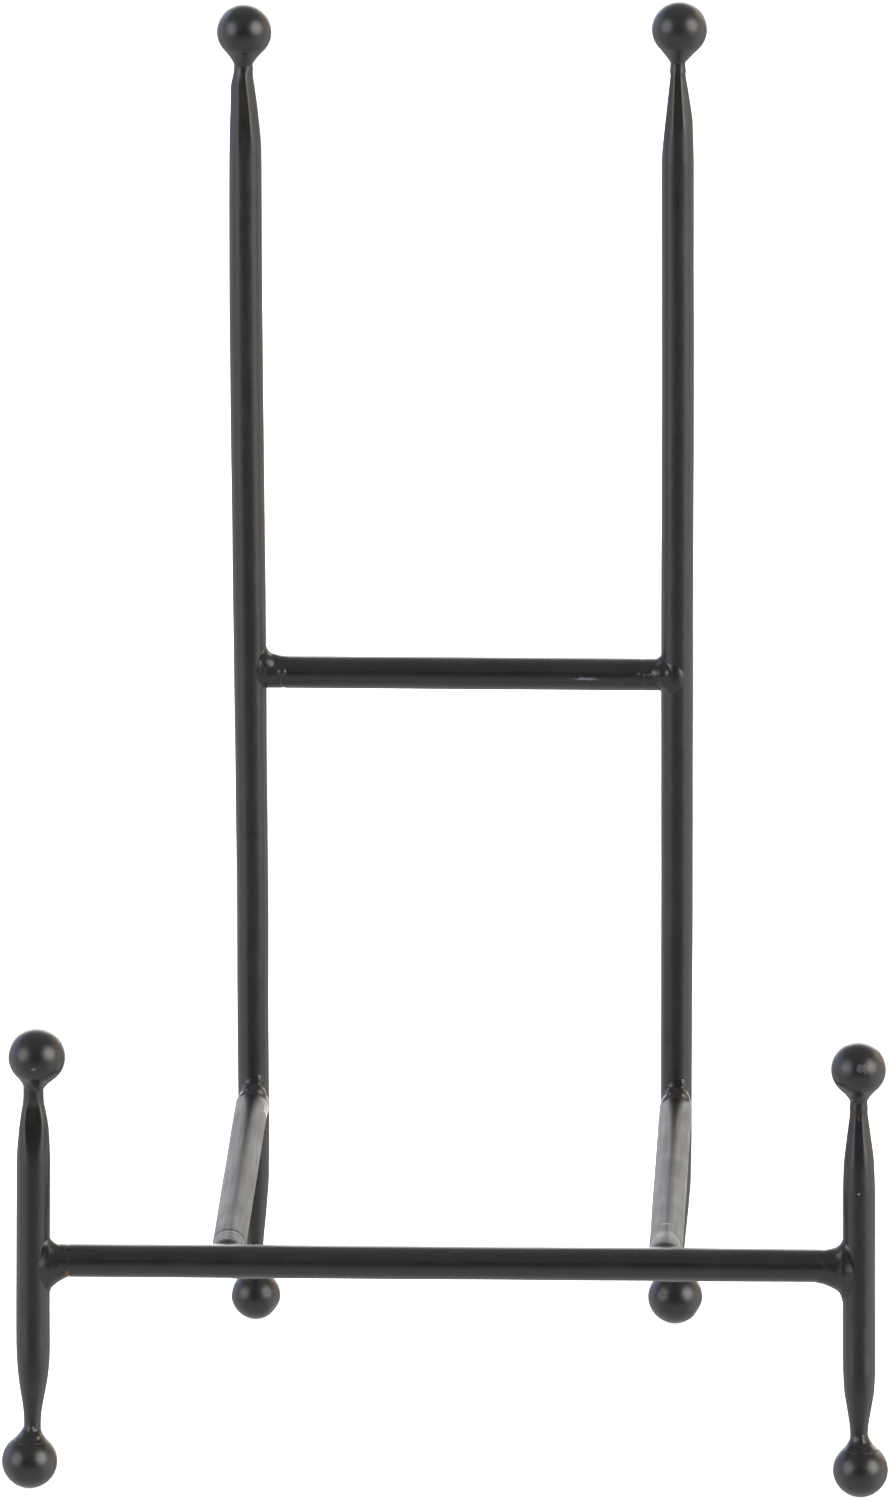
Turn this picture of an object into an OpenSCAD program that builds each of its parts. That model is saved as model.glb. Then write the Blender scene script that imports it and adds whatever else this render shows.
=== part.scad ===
// Tabletop display easel of round steel bar, with a ball at every open end.
// Origin: centre of the footprint, at the surface it stands on. +Z is up, the front faces -Y.

/* [Bar] */
// Diameter of the round bar that every piece is cut from
rod_d = 7; // [5:0.5:8.5]
// Diameter of the neck that an open end is drawn down to
neck_d = 3.6; // [2.6:0.1:4.4]
// Length from the ball to the start of the taper
neck_len = 2.5; // [1.5:0.1:4]
// Length of the taper at each end of an upright
upright_taper = 20; // [10:0.5:24]
// Length of the taper at each end of a post
post_taper = 15; // [8:0.5:18]

/* [Balls] */
// Diameter of the eight balls
ball_d = 12; // [10:0.5:15]

/* [Rear frame] */
// Length of an upright, from the centre of its foot ball to the centre of its top ball
upright_len = 291.5; // [240:0.5:360]
// Distance between the axes of the two uprights
upright_spacing = 96.5; // [70:0.5:118]
// Place of the middle crossbar, measured along the upright from the foot ball's centre
middle_at = 145; // [110:0.5:180]
// Angle that the uprights and the posts lean back from the vertical
lean = 10; // [4:0.5:20]

/* [Front frame] */
// Distance between the axes of the two posts
post_spacing = 182; // [150:0.5:230]
// Length from the front crossbar's axis up the post to the centre of its top ball
post_rise = 45; // [40:0.5:60]
// Length from the centre of a foot ball up the bar to the rail or crossbar above it
leg_len = 45.5; // [42:0.5:60]

/* [Side rails] */
// Length of a rail, from the axis of its upright to the axis of the front crossbar
rail_len = 87.5; // [60:0.5:120]

/* [Welds] */
// Height that the bead where two bars meet stands out over the bars
bead_rise = 1.5; // [1:0.1:2.5]
// Depth of the bead's centre inside the side of the bar that is met
bead_sink = 0.5; // [0.2:0.1:1]
// Gap between a bar's cut end and the bar that it meets, which the bead bridges
root_gap = 0.2; // [0.1:0.05:0.4]
// Angle between the neck and the side of the cone-shaped weld on its ball
flare = 36; // [30:1:45]
// Clearance between a weld and the steel under it
seat_gap = 0.05; // [0.02:0.01:0.1]

/* [Hidden] */
SIDES = ["left", "right"];
SIDE_PARTS = [
    "upright", "post", "side_rail",
    "top_ball", "rear_foot_ball", "post_ball", "front_foot_ball",
    "middle_bead", "rail_rear_bead", "rail_front_bead", "post_bead",
    "top_ball_weld", "rear_foot_ball_weld", "post_ball_weld", "front_foot_ball_weld"
];

$fn = 64;
TAPER_STEPS = 8;
PAINT = [0.16, 0.16, 0.17];
PAINTED_WELD = [0.24, 0.23, 0.22];

rod_r = rod_d / 2;
neck_r = neck_d / 2;
ball_r = ball_d / 2;
bead_r = rod_r + bead_rise;
bead_out = rod_r - bead_sink;
upright_x = upright_spacing / 2;
post_x = post_spacing / 2;
reach = 4 * rod_d;

// Places in the side view, as [y, z]. The foot balls stand on z = 0, and y = 0 halves the depth.
along = [sin(lean), cos(lean)];
rear_foot = [(rail_len - upright_len * sin(lean)) / 2, ball_r];
rail_rear = rear_foot + leg_len * along;
rail_front = rail_rear - [rail_len, 0];
front_foot = rail_front - leg_len * along;
middle = rear_foot + middle_at * along;
rear_top = rear_foot + upright_len * along;
post_top = rail_front + post_rise * along;

function sign_of(side) = side == "left" ? -1 : 1;

// Goes from 0 to 1 with t, and is steepest halfway
function ease(t) = (t + t * t * (3 - 2 * t)) / 2;

// Moves its children to x and a place of the side view
module at(x, place) {
    translate([x, place[0], place[1]])
        children();
}

// The same, with +Z turned to run up along the lean
module leaning(x, place) {
    at(x, place)
        rotate([-lean, 0, 0])
            children();
}

// Turns +Z to point back, along +Y
module backward() {
    rotate([-90, 0, 0])
        children();
}

// Turns +Z to point right, along +X, or left, along -X
module sideways(direction = 1) {
    rotate([0, direction * 90, 0])
        children();
}

// Half outline of a drawn end, from the ball towards the middle of the bar, as [radius, height]
function end_points(taper) = [
    for (i = [0 : TAPER_STEPS])
        let (t = i / TAPER_STEPS)
            [neck_r + (rod_r - neck_r) * ease(t), ball_r + neck_len + taper * t]
];

// A bar along +Z that reaches between two balls, the first at the origin, drawn down at both ends
module drawn_bar(length, taper) {
    lower = concat([[0, ball_r + seat_gap], [neck_r, ball_r + seat_gap]], end_points(taper));
    upper = [for (i = [len(lower) - 1 : -1 : 0]) [lower[i][0], length - lower[i][1]]];
    rotate_extrude()
        polygon(concat(lower, upper));
}

module upright(side) {
    color(PAINT)
        leaning(sign_of(side) * upright_x, rear_foot)
            drawn_bar(upright_len, upright_taper);
}

module post(side) {
    color(PAINT)
        leaning(sign_of(side) * post_x, front_foot)
            drawn_bar(leg_len + post_rise, post_taper);
}

// A level bar from side to side, cut square just short of the bars that it meets
module crossbar(spacing, place) {
    length = spacing - rod_d - 2 * root_gap;
    color(PAINT)
        at(-length / 2, place)
            sideways()
                cylinder(r = rod_r, h = length);
}

module middle_crossbar() {
    crossbar(upright_spacing, middle);
}

module front_crossbar() {
    crossbar(post_spacing, rail_front);
}

// A level round bar from just behind the front crossbar to just before the leaning upright
module rail_bar(x, radius, gap) {
    difference() {
        at(x, rail_front)
            backward()
                translate([0, 0, rod_r + gap])
                    cylinder(r = radius, h = rail_len);
        leaning(x, rail_rear)
            translate([-reach / 2, -rod_r - gap, -reach])
                cube([reach, 2 * reach, 2 * reach]);
    }
}

module side_rail(side) {
    color(PAINT)
        rail_bar(sign_of(side) * upright_x, rod_r, root_gap);
}

module ball(x, place) {
    color(PAINT)
        at(x, place)
            sphere(ball_r);
}

module top_ball(side) {
    ball(sign_of(side) * upright_x, rear_top);
}

module rear_foot_ball(side) {
    ball(sign_of(side) * upright_x, rear_foot);
}

module post_ball(side) {
    ball(sign_of(side) * post_x, post_top);
}

module front_foot_ball(side) {
    ball(sign_of(side) * post_x, front_foot);
}

// The steel under a bead, a little larger than it is, is cut out of the bead
module leaning_cut(x, place) {
    leaning(x, place)
        cylinder(r = rod_r + seat_gap, h = 2 * reach, center = true);
}

module crossbar_cut(x, place) {
    at(x - sign(x) * (rod_r + root_gap - seat_gap), place)
        sideways(-sign(x))
            cylinder(r = rod_r + seat_gap, h = reach);
}

module rail_cut(x) {
    rail_bar(x, rod_r + seat_gap, root_gap - seat_gap);
}

// The bead at the end of a crossbar, where it meets the leaning bar at x.
// The sphere of each bead is turned so that its poles lie inside the bars.
module crossbar_bead(x, place) {
    color(PAINTED_WELD)
        difference() {
            at(x - sign(x) * bead_out, place)
                sideways()
                    sphere(bead_r);
            leaning_cut(x, place);
            crossbar_cut(x, place);
        }
}

module middle_bead(side) {
    crossbar_bead(sign_of(side) * upright_x, middle);
}

module post_bead(side) {
    crossbar_bead(sign_of(side) * post_x, rail_front);
}

module rail_rear_bead(side) {
    x = sign_of(side) * upright_x;
    color(PAINTED_WELD)
        difference() {
            at(x, rail_rear - [bead_out, 0])
                backward()
                    sphere(bead_r);
            leaning_cut(x, rail_rear);
            rail_cut(x);
        }
}

module rail_front_bead(side) {
    x = sign_of(side) * upright_x;
    color(PAINTED_WELD)
        difference() {
            at(x, rail_front + [bead_out, 0])
                backward()
                    sphere(bead_r);
            at(x, rail_front)
                sideways()
                    cylinder(r = rod_r + seat_gap, h = reach, center = true);
            rail_cut(x);
        }
}

// A cone that leaves the ball at the origin at a tangent and closes on the neck, which runs along +Z
module ball_weld() {
    inner = neck_r + seat_gap;
    tangent = ball_r * [cos(flare), sin(flare)];
    tip = (ball_r - inner * cos(flare)) / sin(flare);
    color(PAINTED_WELD)
        difference() {
            rotate_extrude()
                polygon([[inner, 0], [tangent[0], 0], tangent, [inner, tip]]);
            sphere(ball_r + seat_gap);
        }
}

module under_ball_weld() {
    mirror([0, 0, 1])
        ball_weld();
}

module top_ball_weld(side) {
    leaning(sign_of(side) * upright_x, rear_top)
        under_ball_weld();
}

module rear_foot_ball_weld(side) {
    leaning(sign_of(side) * upright_x, rear_foot)
        ball_weld();
}

module post_ball_weld(side) {
    leaning(sign_of(side) * post_x, post_top)
        under_ball_weld();
}

module front_foot_ball_weld(side) {
    leaning(sign_of(side) * post_x, front_foot)
        ball_weld();
}

middle_crossbar();
front_crossbar();
for (side = SIDES) {
    upright(side);
    post(side);
    side_rail(side);
    top_ball(side);
    rear_foot_ball(side);
    post_ball(side);
    front_foot_ball(side);
    middle_bead(side);
    rail_rear_bead(side);
    rail_front_bead(side);
    post_bead(side);
    top_ball_weld(side);
    rear_foot_ball_weld(side);
    post_ball_weld(side);
    front_foot_ball_weld(side);
}
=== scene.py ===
# %% [markdown]
# # A tabletop easel of forged round bar
#
# The easel is black painted steel: eight pieces of 7 mm round bar, eight balls and sixteen welds.
# Somebody cut the bar, hammered its open ends down to thin necks, and welded everything by hand.
# No two ends are alike, and that is what tells a forged thing from a turned one.
#
# This lesson builds each piece as a surface that numpy works out on a grid. A box-modelled
# cylinder with a bevel would be quicker, but its ends would all be equally round. A formula with
# a few numbers per piece keeps the hand-made differences and is short enough to read.

import bpy
import numpy as np
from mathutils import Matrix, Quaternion, Vector


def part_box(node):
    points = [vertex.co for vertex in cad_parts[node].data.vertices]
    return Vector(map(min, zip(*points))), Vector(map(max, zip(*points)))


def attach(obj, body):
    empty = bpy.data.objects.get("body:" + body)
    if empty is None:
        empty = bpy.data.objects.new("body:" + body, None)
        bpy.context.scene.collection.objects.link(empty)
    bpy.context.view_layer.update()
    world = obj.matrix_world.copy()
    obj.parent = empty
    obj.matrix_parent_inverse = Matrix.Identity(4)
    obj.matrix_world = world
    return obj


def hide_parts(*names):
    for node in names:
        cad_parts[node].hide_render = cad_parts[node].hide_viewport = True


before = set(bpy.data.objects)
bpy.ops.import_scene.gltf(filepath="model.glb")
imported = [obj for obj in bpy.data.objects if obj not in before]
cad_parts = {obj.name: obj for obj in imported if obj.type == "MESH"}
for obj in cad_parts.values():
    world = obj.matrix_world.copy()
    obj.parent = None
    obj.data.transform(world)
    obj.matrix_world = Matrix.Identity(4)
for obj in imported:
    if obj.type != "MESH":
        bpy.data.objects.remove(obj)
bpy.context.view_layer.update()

# %% [markdown]
# ## Places from the frame
#
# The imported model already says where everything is, so nothing is measured twice. A ball's box
# gives its centre and radius, a crossbar's box gives its axis, and the line between two balls is
# the axis of the bar that they sit on. All lengths below are in millimetres, because a smith
# thinks in millimetres. They are turned to metres once, when a mesh is made.

# %% Axes, radii and joints
MM = 0.001


def centre_of(node):
    """The middle of a CAD node's box, in millimetres."""
    low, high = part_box(node)
    return np.array((low + high) / 2) / MM


def size_of(node):
    """The three sides of a CAD node's box, in millimetres."""
    low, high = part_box(node)
    return np.array(high - low) / MM


def unit(vector):
    """The vector divided by its own length."""
    return np.asarray(vector, float) / np.linalg.norm(vector)


SIDES = {"left": -1, "right": 1}
RIGHT = np.array([1.0, 0, 0])
BACK = np.array([0, 1.0, 0])
UP = np.array([0, 0, 1.0])

bar_radius = size_of("front_crossbar")[2] / 2
ball_radius = size_of("left_top_ball")[0] / 2
lean = unit(centre_of("left_top_ball") - centre_of("left_rear_foot_ball"))
lean_front = np.cross(RIGHT, lean)
middle_axis = centre_of("middle_crossbar")
front_axis = centre_of("front_crossbar")
rail_height = centre_of("left_side_rail")[2]
print("bar", round(2 * bar_radius, 2), "ball", round(2 * ball_radius, 2), "lean", lean.round(3))

# %% [markdown]
# ## The camera
#
# A long lens from well back keeps the two uprights almost parallel, as is usual for a small thing
# in a catalogue. The camera looks down at 22 degrees, stands three degrees to the right, and is
# held a little off level. It is made first, because everything else is judged through it.

# %% Camera
# Lens, sensor, distance and the point that is looked at in millimetres
LENS = 255.3
SENSOR_WIDTH = 36
CAMERA_DISTANCE = 2337.5
CAMERA_RIGHT = np.radians(3.07)
CAMERA_HEIGHT = np.radians(22.06)
CAMERA_ROLL = np.radians(-0.73)
LOOK_AT = np.array([-0.66, -21.59, 156.58])

towards_camera = Vector((
    np.cos(CAMERA_HEIGHT) * np.sin(CAMERA_RIGHT),
    -np.cos(CAMERA_HEIGHT) * np.cos(CAMERA_RIGHT),
    np.sin(CAMERA_HEIGHT),
))
camera_data = bpy.data.cameras.new("camera")
camera_data.lens = LENS
camera_data.sensor_width = SENSOR_WIDTH
camera = bpy.data.objects.new("camera", camera_data)
camera.rotation_mode = "QUATERNION"
camera.location = Vector(LOOK_AT * MM) + towards_camera * CAMERA_DISTANCE * MM
camera.rotation_quaternion = towards_camera.to_track_quat("Z", "Y") @ Quaternion((0, 0, 1), CAMERA_ROLL)
bpy.context.scene.collection.objects.link(camera)
bpy.context.scene.camera = camera
print("camera at", [round(x, 3) for x in camera.location])

# %% [markdown]
# ## Node helper and colours
#
# A node tree is a list of nodes and the wires between them. One function adds any node: its own
# settings go in as keywords, and its sockets get either a value or another node's output.
# Colours are given as sRGB hex codes, but a renderer counts light, so they are turned to linear first: below
# 0.04 divide by 12.92, above it add 0.055, divide by 1.055, raise to 2.4.

# %% Node helper and colours
def linear(code):
    """An sRGB hex colour such as "#1b1b1c" as four linear numbers."""
    srgb = np.array([int(code[i:i + 2], 16) for i in (1, 3, 5)]) / 255
    light = np.where(srgb <= 0.04045, srgb / 12.92, ((srgb + 0.055) / 1.055) ** 2.4)
    return (*light.tolist(), 1.0)


def add(tree, kind, inputs=None, **settings):
    """Adds a node of that kind, sets its properties, and fills or links its input sockets."""
    node = tree.nodes.new(kind)
    for name, value in settings.items():
        setattr(node, name, value)
    for key, value in (inputs or {}).items():
        if isinstance(value, bpy.types.NodeSocket):
            tree.links.new(value, node.inputs[key])
        else:
            node.inputs[key].default_value = value
    return node


print("a grey of #808080 gives", round(linear("#808080")[0], 2), "of white's light")

# %% [markdown]
# ## Light
#
# Black satin paint has almost no colour of its own: what the eye sees on it is the room. So the
# room is designed, and not the highlights. Two big softboxes stand to the left and the right of
# the camera, the right one brighter, and draw two soft spots on every ball. The camera's side is
# dark, which draws the dark line down the middle of every bar. Behind the easel the room is white,
# and whitest in a broad patch of wall just below level. The tops of the rails mirror it at a
# grazing angle, which makes them look grey, and the rims of the crossbars and balls catch it too.
#
# All of this is in the World, as light that depends on direction, so nothing stands in the way
# of any view. A band of light, the card, goes all round between the table and the ceiling. Over
# it lie a few round boxes, whose light falls off with the angle from their middle. Camera rays
# see plain white instead, so that the easel stands on white from all sides.

# %% Directions and levels
def grey(level, tint=(1.0, 1.0, 1.0)):
    """A light level with a slight tint, as four linear numbers."""
    return (*(level * np.array(tint)).tolist(), 1.0)


def towards(compass, height):
    """The unit vector for a compass angle (0 is the front, 90 the right) and a height, in degrees."""
    across = np.radians(compass)
    up = np.radians(height)
    return np.array([np.sin(across) * np.cos(up), -np.cos(across) * np.cos(up), np.sin(up)])


def height_of(degrees):
    """The z of a unit vector that many degrees above level."""
    return float(np.sin(np.radians(degrees)))


print("30 degrees up has z", round(height_of(30), 2), "and the right is", towards(90, 0).round(2))

# %% The room in numbers
COOL = (0.88, 0.93, 1.28)
WARM = (1.18, 1.00, 0.78)
# A colour ramp's levels end at 1, so they are divided by this and multiplied again after it
HIGHEST = 2.5
# Compass angles and levels of the card, from straight behind by way of the front to behind
CARD = [
    (-180, grey(2.4)), (-160, grey(2.1)), (-145, grey(1.35, COOL)), (-115, grey(1.5, COOL)),
    (-85, grey(0.95, COOL)), (-40, grey(0.36)), (0, grey(0.14)), (40, grey(0.36)),
    (85, grey(0.9, WARM)), (115, grey(1.25, WARM)), (145, grey(1.35, WARM)), (160, grey(2.1)),
    (180, grey(2.4)),
]
# Heights between which the table turns into the card, and the card into the ceiling
CARD_FOOT = (-26, 14)
CARD_HEAD = (26, 40)
# Levels at the camera's side and behind, and the y of the directions where one turns into the other
TABLE_FRONT = grey(1.0, (1.02, 1.0, 0.98))
TABLE_BACK = grey(0.6, (1.02, 1.0, 0.98))
TABLE_TURN = (0.3, 0.75)
CEILING_FRONT = grey(0.44, (0.99, 1.0, 1.03))
CEILING_BACK = grey(0.70, (0.99, 1.0, 1.03))
CEILING_TURN = (-0.7, 0.5)
WHITE_BEHIND_ALL = 1.2
# Middle, power, and the angles from the middle at which the light starts to fall off and ends
BOXES = {
    "left softbox": (towards(-56, 21), 3.3, 4, 31),
    "right softbox": (towards(62, 23), 6.0, 4, 31),
    "left reflector": (towards(-88, -12), 0.3, 10, 45),
    "right reflector": (towards(88, -12), 0.7, 10, 45),
    "white wall behind": (towards(180, -1), 2.8, 12, 37),
}
print("lights:", ", ".join(BOXES))

# %% The card as nodes
world = bpy.data.worlds.new("studio")
bpy.context.scene.world = world
world.use_nodes = True
sky = world.node_tree
sky.nodes.clear()
direction = add(sky, "ShaderNodeTexCoord").outputs["Generated"]
parts = add(sky, "ShaderNodeSeparateXYZ", {0: direction})
forward = add(sky, "ShaderNodeMath", {0: parts.outputs["Y"], 1: -1.0}, operation="MULTIPLY").outputs[0]
compass = add(sky, "ShaderNodeMath", {0: parts.outputs["X"], 1: forward}, operation="ARCTAN2").outputs[0]
along_card = add(sky, "ShaderNodeMapRange", {"Value": compass, "From Min": -np.pi, "From Max": np.pi})
card = add(sky, "ShaderNodeValToRGB", {"Fac": along_card.outputs["Result"]})
# A new ramp has two stops already
for _ in CARD[2:]:
    card.color_ramp.elements.new(0.5)
for stop, (degrees, colour) in zip(card.color_ramp.elements, CARD):
    stop.position = (degrees + 180) / 360
    stop.color = [channel / HIGHEST for channel in colour[:3]] + [1.0]
print("the card has", len(card.color_ramp.elements), "levels")

# %% Table, ceiling and boxes as nodes
def edge(value, start, end):
    """0 before start and 1 after end, with an S between: t * t * (3 - 2 t)."""
    return add(sky, "ShaderNodeMapRange", {"Value": value, "From Min": start, "From Max": end},
               interpolation_type="SMOOTHSTEP").outputs["Result"]


def mixed(share, first, second):
    """first where share is 0, second where it is 1. Sockets 6 and 7 are the colours of a Mix node."""
    return add(sky, "ShaderNodeMix", {0: share, 6: first, 7: second}, data_type="RGBA").outputs[2]


level_card = add(
    sky, "ShaderNodeVectorMath", {0: card.outputs["Color"], "Scale": HIGHEST}, operation="SCALE")
table = mixed(edge(parts.outputs["Y"], *TABLE_TURN), TABLE_FRONT, TABLE_BACK)
ceiling = mixed(edge(parts.outputs["Y"], *CEILING_TURN), CEILING_FRONT, CEILING_BACK)
above_foot = edge(parts.outputs["Z"], height_of(CARD_FOOT[0]), height_of(CARD_FOOT[1]))
over_head = edge(parts.outputs["Z"], height_of(CARD_HEAD[0]), height_of(CARD_HEAD[1]))
room = mixed(over_head, mixed(above_foot, table, level_card.outputs[0]), ceiling)
for way, power, full_to, gone_at in BOXES.values():
    aligned = add(sky, "ShaderNodeVectorMath", {0: direction, 1: way}, operation="DOT_PRODUCT")
    inside = edge(aligned.outputs["Value"], height_of(90 - gone_at), height_of(90 - full_to))
    glow = add(sky, "ShaderNodeMath", {0: inside, 1: power}, operation="MULTIPLY")
    room = add(sky, "ShaderNodeVectorMath", {0: room, 1: glow.outputs[0]}, operation="ADD").outputs[0]
print("the room has", len(sky.nodes), "nodes")

# %% What the camera sees
studio = add(sky, "ShaderNodeBackground", {"Color": room, "Strength": 1.0})
white = add(sky, "ShaderNodeBackground", {"Color": grey(1.0), "Strength": WHITE_BEHIND_ALL})
is_camera = add(sky, "ShaderNodeLightPath").outputs["Is Camera Ray"]
seen = add(sky, "ShaderNodeMixShader", {0: is_camera, 1: studio.outputs[0], 2: white.outputs[0]})
add(sky, "ShaderNodeOutputWorld", {"Surface": seen.outputs[0]})
bpy.context.scene.view_settings.view_transform = "Standard"
print("camera rays see white of strength", WHITE_BEHIND_ALL)

# %% [markdown]
# ## Overhead lamp
#
# One wide lamp hangs over the easel, as a studio's top light does. It lights the board from above,
# with shadows too soft to have an edge. Mirrors do not see it, because a bright disc would draw a
# third spot on every ball.

# %% Overhead lamp, in metres
LAMP_SIZE = 3.0
LAMP_HEIGHT = 2.2
LAMP_WATTS = 30
LAMP_BEHIND = 0.2

lamp_data = bpy.data.lights.new("overhead", "AREA")
lamp_data.shape = "DISK"
lamp_data.size = LAMP_SIZE
lamp_data.energy = LAMP_WATTS
lamp = bpy.data.objects.new("overhead", lamp_data)
lamp.location = (0, LAMP_BEHIND, LAMP_HEIGHT)
lamp.visible_camera = False
lamp.visible_glossy = False
bpy.context.scene.collection.objects.link(lamp)
print("lamp", LAMP_SIZE, "m wide,", LAMP_HEIGHT, "m up,", LAMP_WATTS, "W")

# %% [markdown]
# ## Skin: from a grid of points to a mesh
#
# Every piece below is a stack of closed rings, each with the same number of points. Skinning
# joins each ring to the next with four-sided faces. The order of the corners is chosen once so
# that faces look outwards when the rings run along +axis and the points run the way a right-hand
# screw turns. A stack either ends in two poles, as a ball or a bar does, or the last ring meets
# the first again, as in a weld that goes round a neck like a doughnut.

# %% Skin
def ring_faces(rows, columns, wrapped):
    """Corner numbers of the quads between neighbouring rings: (i, j), (i, j+1), (i+1, j+1), (i+1, j)."""
    i = np.arange(rows if wrapped else rows - 1)[:, None]
    j = np.arange(columns)[None, :]
    following = (i + 1) % rows * columns
    beside = (j + 1) % columns
    corners = np.broadcast_arrays(i * columns + j, i * columns + beside, following + beside, following + j)
    return np.stack(corners, -1).reshape(-1, 4)


def skin(rings, poles=None):
    """Points and blocks of faces of a stack of rings, an array of shape (rows, columns, 3).

    With poles, a pair of points, the first and the last ring are closed by fans of triangles.
    Without them the last ring is joined to the first."""
    rows, columns = rings.shape[:2]
    points = rings.reshape(-1, 3)
    blocks = [ring_faces(rows, columns, poles is None)]
    if poles is not None:
        j = np.arange(columns)
        beside = (j + 1) % columns
        last = (rows - 1) * columns
        low = np.full(columns, len(points))
        high = low + 1
        blocks.append(np.stack([low, beside, j], -1))
        blocks.append(np.stack([high, last + j, last + beside], -1))
        points = np.vstack([points, poles])
    return points, blocks


def join(parts):
    """Several (points, blocks) as one: each part's corner numbers move past the points before it."""
    points = np.vstack([part[0] for part in parts])
    starts = np.cumsum([0] + [len(part[0]) for part in parts])
    blocks = [block + start for start, part in zip(starts, parts) for block in part[1]]
    return points, blocks


def turn(count):
    """That many angles round a full turn, the last one just short of the first."""
    return np.arange(count) * 2 * np.pi / count


print("four rings of six points take", len(ring_faces(4, 6, False)), "quads")

# %% Placing a piece
def place(node, shape, material, slot):
    """Makes the piece that stands for a CAD node, from (points in millimetres, blocks of faces)."""
    points, blocks = shape
    faces = sum((block.tolist() for block in blocks), [])
    mesh = bpy.data.meshes.new(node + "_painted")
    mesh.from_pydata((points * MM).tolist(), [], faces)
    mesh.polygons.foreach_set("use_smooth", np.ones(len(faces), bool))
    mesh.materials.append(material)
    piece = bpy.data.objects.new(node + "_painted", mesh)
    bpy.context.scene.collection.objects.link(piece)
    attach(piece, "root")
    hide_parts(node)


print("pieces are made in metres:", MM, "to the millimetre")

# %% [markdown]
# ## Floor
#
# The easel stands on a matt white board, such as a sheet of foam board. It has no gloss, and it
# glows a little, so that it runs into the white behind it without a line. A flat disc is enough.

# %% Floor, in metres
FLOOR_RADIUS = 3.0
FLOOR_CORNERS = 96
BOARD_GLOW = 0.7

floor_angle = turn(FLOOR_CORNERS)
floor_rim = np.stack([np.cos(floor_angle), np.sin(floor_angle), 0 * floor_angle], -1) * FLOOR_RADIUS
floor_mesh = bpy.data.meshes.new("floor")
floor_mesh.from_pydata(floor_rim.tolist(), [], [list(range(FLOOR_CORNERS))])
floor = bpy.data.objects.new("floor", floor_mesh)
bpy.context.scene.collection.objects.link(floor)
floor.visible_glossy = False

floor_paint = bpy.data.materials.new("matt_white_board")
floor_paint.use_nodes = True
floor_paint.node_tree.nodes.clear()
board = add(floor_paint.node_tree, "ShaderNodeBsdfPrincipled", {
    "Base Color": linear("#f4f4f4"), "Roughness": 0.9, "Specular IOR Level": 0.0,
    "Emission Color": linear("#ffffff"), "Emission Strength": BOARD_GLOW})
add(floor_paint.node_tree, "ShaderNodeOutputMaterial", {"Surface": board.outputs[0]})
floor_mesh.materials.append(floor_paint)
print("floor", 2 * FLOOR_RADIUS, "m wide")

# %% [markdown]
# ## Set by hand and eye
#
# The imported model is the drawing, and the welder came near it. The balls sit up to two millimetres
# beside their places, the left post's ends wander outwards below and inwards above, the left
# upright is slightly bowed, and the front crossbar's left end is half a millimetre lower than its
# right. The bars are not quite equally thick either. Nothing here moves a surface by much more
# than two millimetres, so each piece still covers the CAD part that it stands for.
#
# All of it is in tables. A table of a few places is read between its entries on straight lines,
# and then averaged over a few millimetres either way, which takes the corners off.

# %% Reading a table
READINGS = 9


def eased(table, at, blur):
    """Reads a table of (place, value) pairs at any place, averaged over blur either way."""
    places, values = zip(*table)
    nearby = np.asarray(at, float)[..., None] + np.linspace(-blur, blur, READINGS)
    return np.interp(nearby, places, values).mean(-1)


print("the corner of a ramp, eased over 2 mm:", eased([(0, 0), (10, 10)], 0.0, 2.0).round(2), "mm")

# %% Where the balls sit
# Ball: share of the drawn radius, shift (to the right, back, up the lean), flats (normal, depth)
BALLS = {
    "left_top_ball": (1.03, (-0.16, 0, -0.62), [((-0.6, -0.2, 0.7), 0.985), ((0.8, 0.3, -0.4), 0.985)]),
    "right_top_ball": (1.04, (0.43, 0, 0.32), [((0.75, -0.2, 0.6), 0.975), ((-0.7, 0.5, 0.2), 0.985)]),
    "left_post_ball": (1.05, (1.33, 0, 0.96), [((0.5, -0.4, -0.7), 0.98), ((-0.9, 0.1, 0.3), 0.985)]),
    "right_post_ball": (1.01, (-0.39, 0, -0.27), [((0.8, -0.2, 0.6), 0.965), ((-0.5, -0.5, -0.6), 0.985)]),
    "left_rear_foot_ball": (0.94, (0.44, 0, 0), [((0.85, -0.4, -0.5), 0.93), ((-0.9, 0.1, 0.2), 0.97)]),
    "right_rear_foot_ball": (1.04, (-0.13, 0, 0), [((0.9, -0.3, -0.45), 0.96), ((-0.8, 0.4, -0.3), 0.985)]),
    "left_front_foot_ball": (1.03, (-1.14, -1.5, 0), [((-0.7, -0.3, 0.4), 0.985), ((0.6, 0.6, -0.4), 0.98)]),
    "right_front_foot_ball": (1.02, (0.5, -1.5, 0), [((0.7, -0.1, 0.75), 0.975), ((-0.4, 0.8, -0.3), 0.98)]),
}


def welded_centre(ball):
    """A ball's centre as welded. A smaller foot ball comes down until it stands on the floor."""
    share, (right, back, up), _ = BALLS[ball]
    lower = ball_radius * (share - 1) if "foot" in ball else 0
    return centre_of(ball) + right * RIGHT + back * BACK + up * lean + lower * UP


print("left foot ball at", welded_centre("left_rear_foot_ball").round(1))

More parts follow.
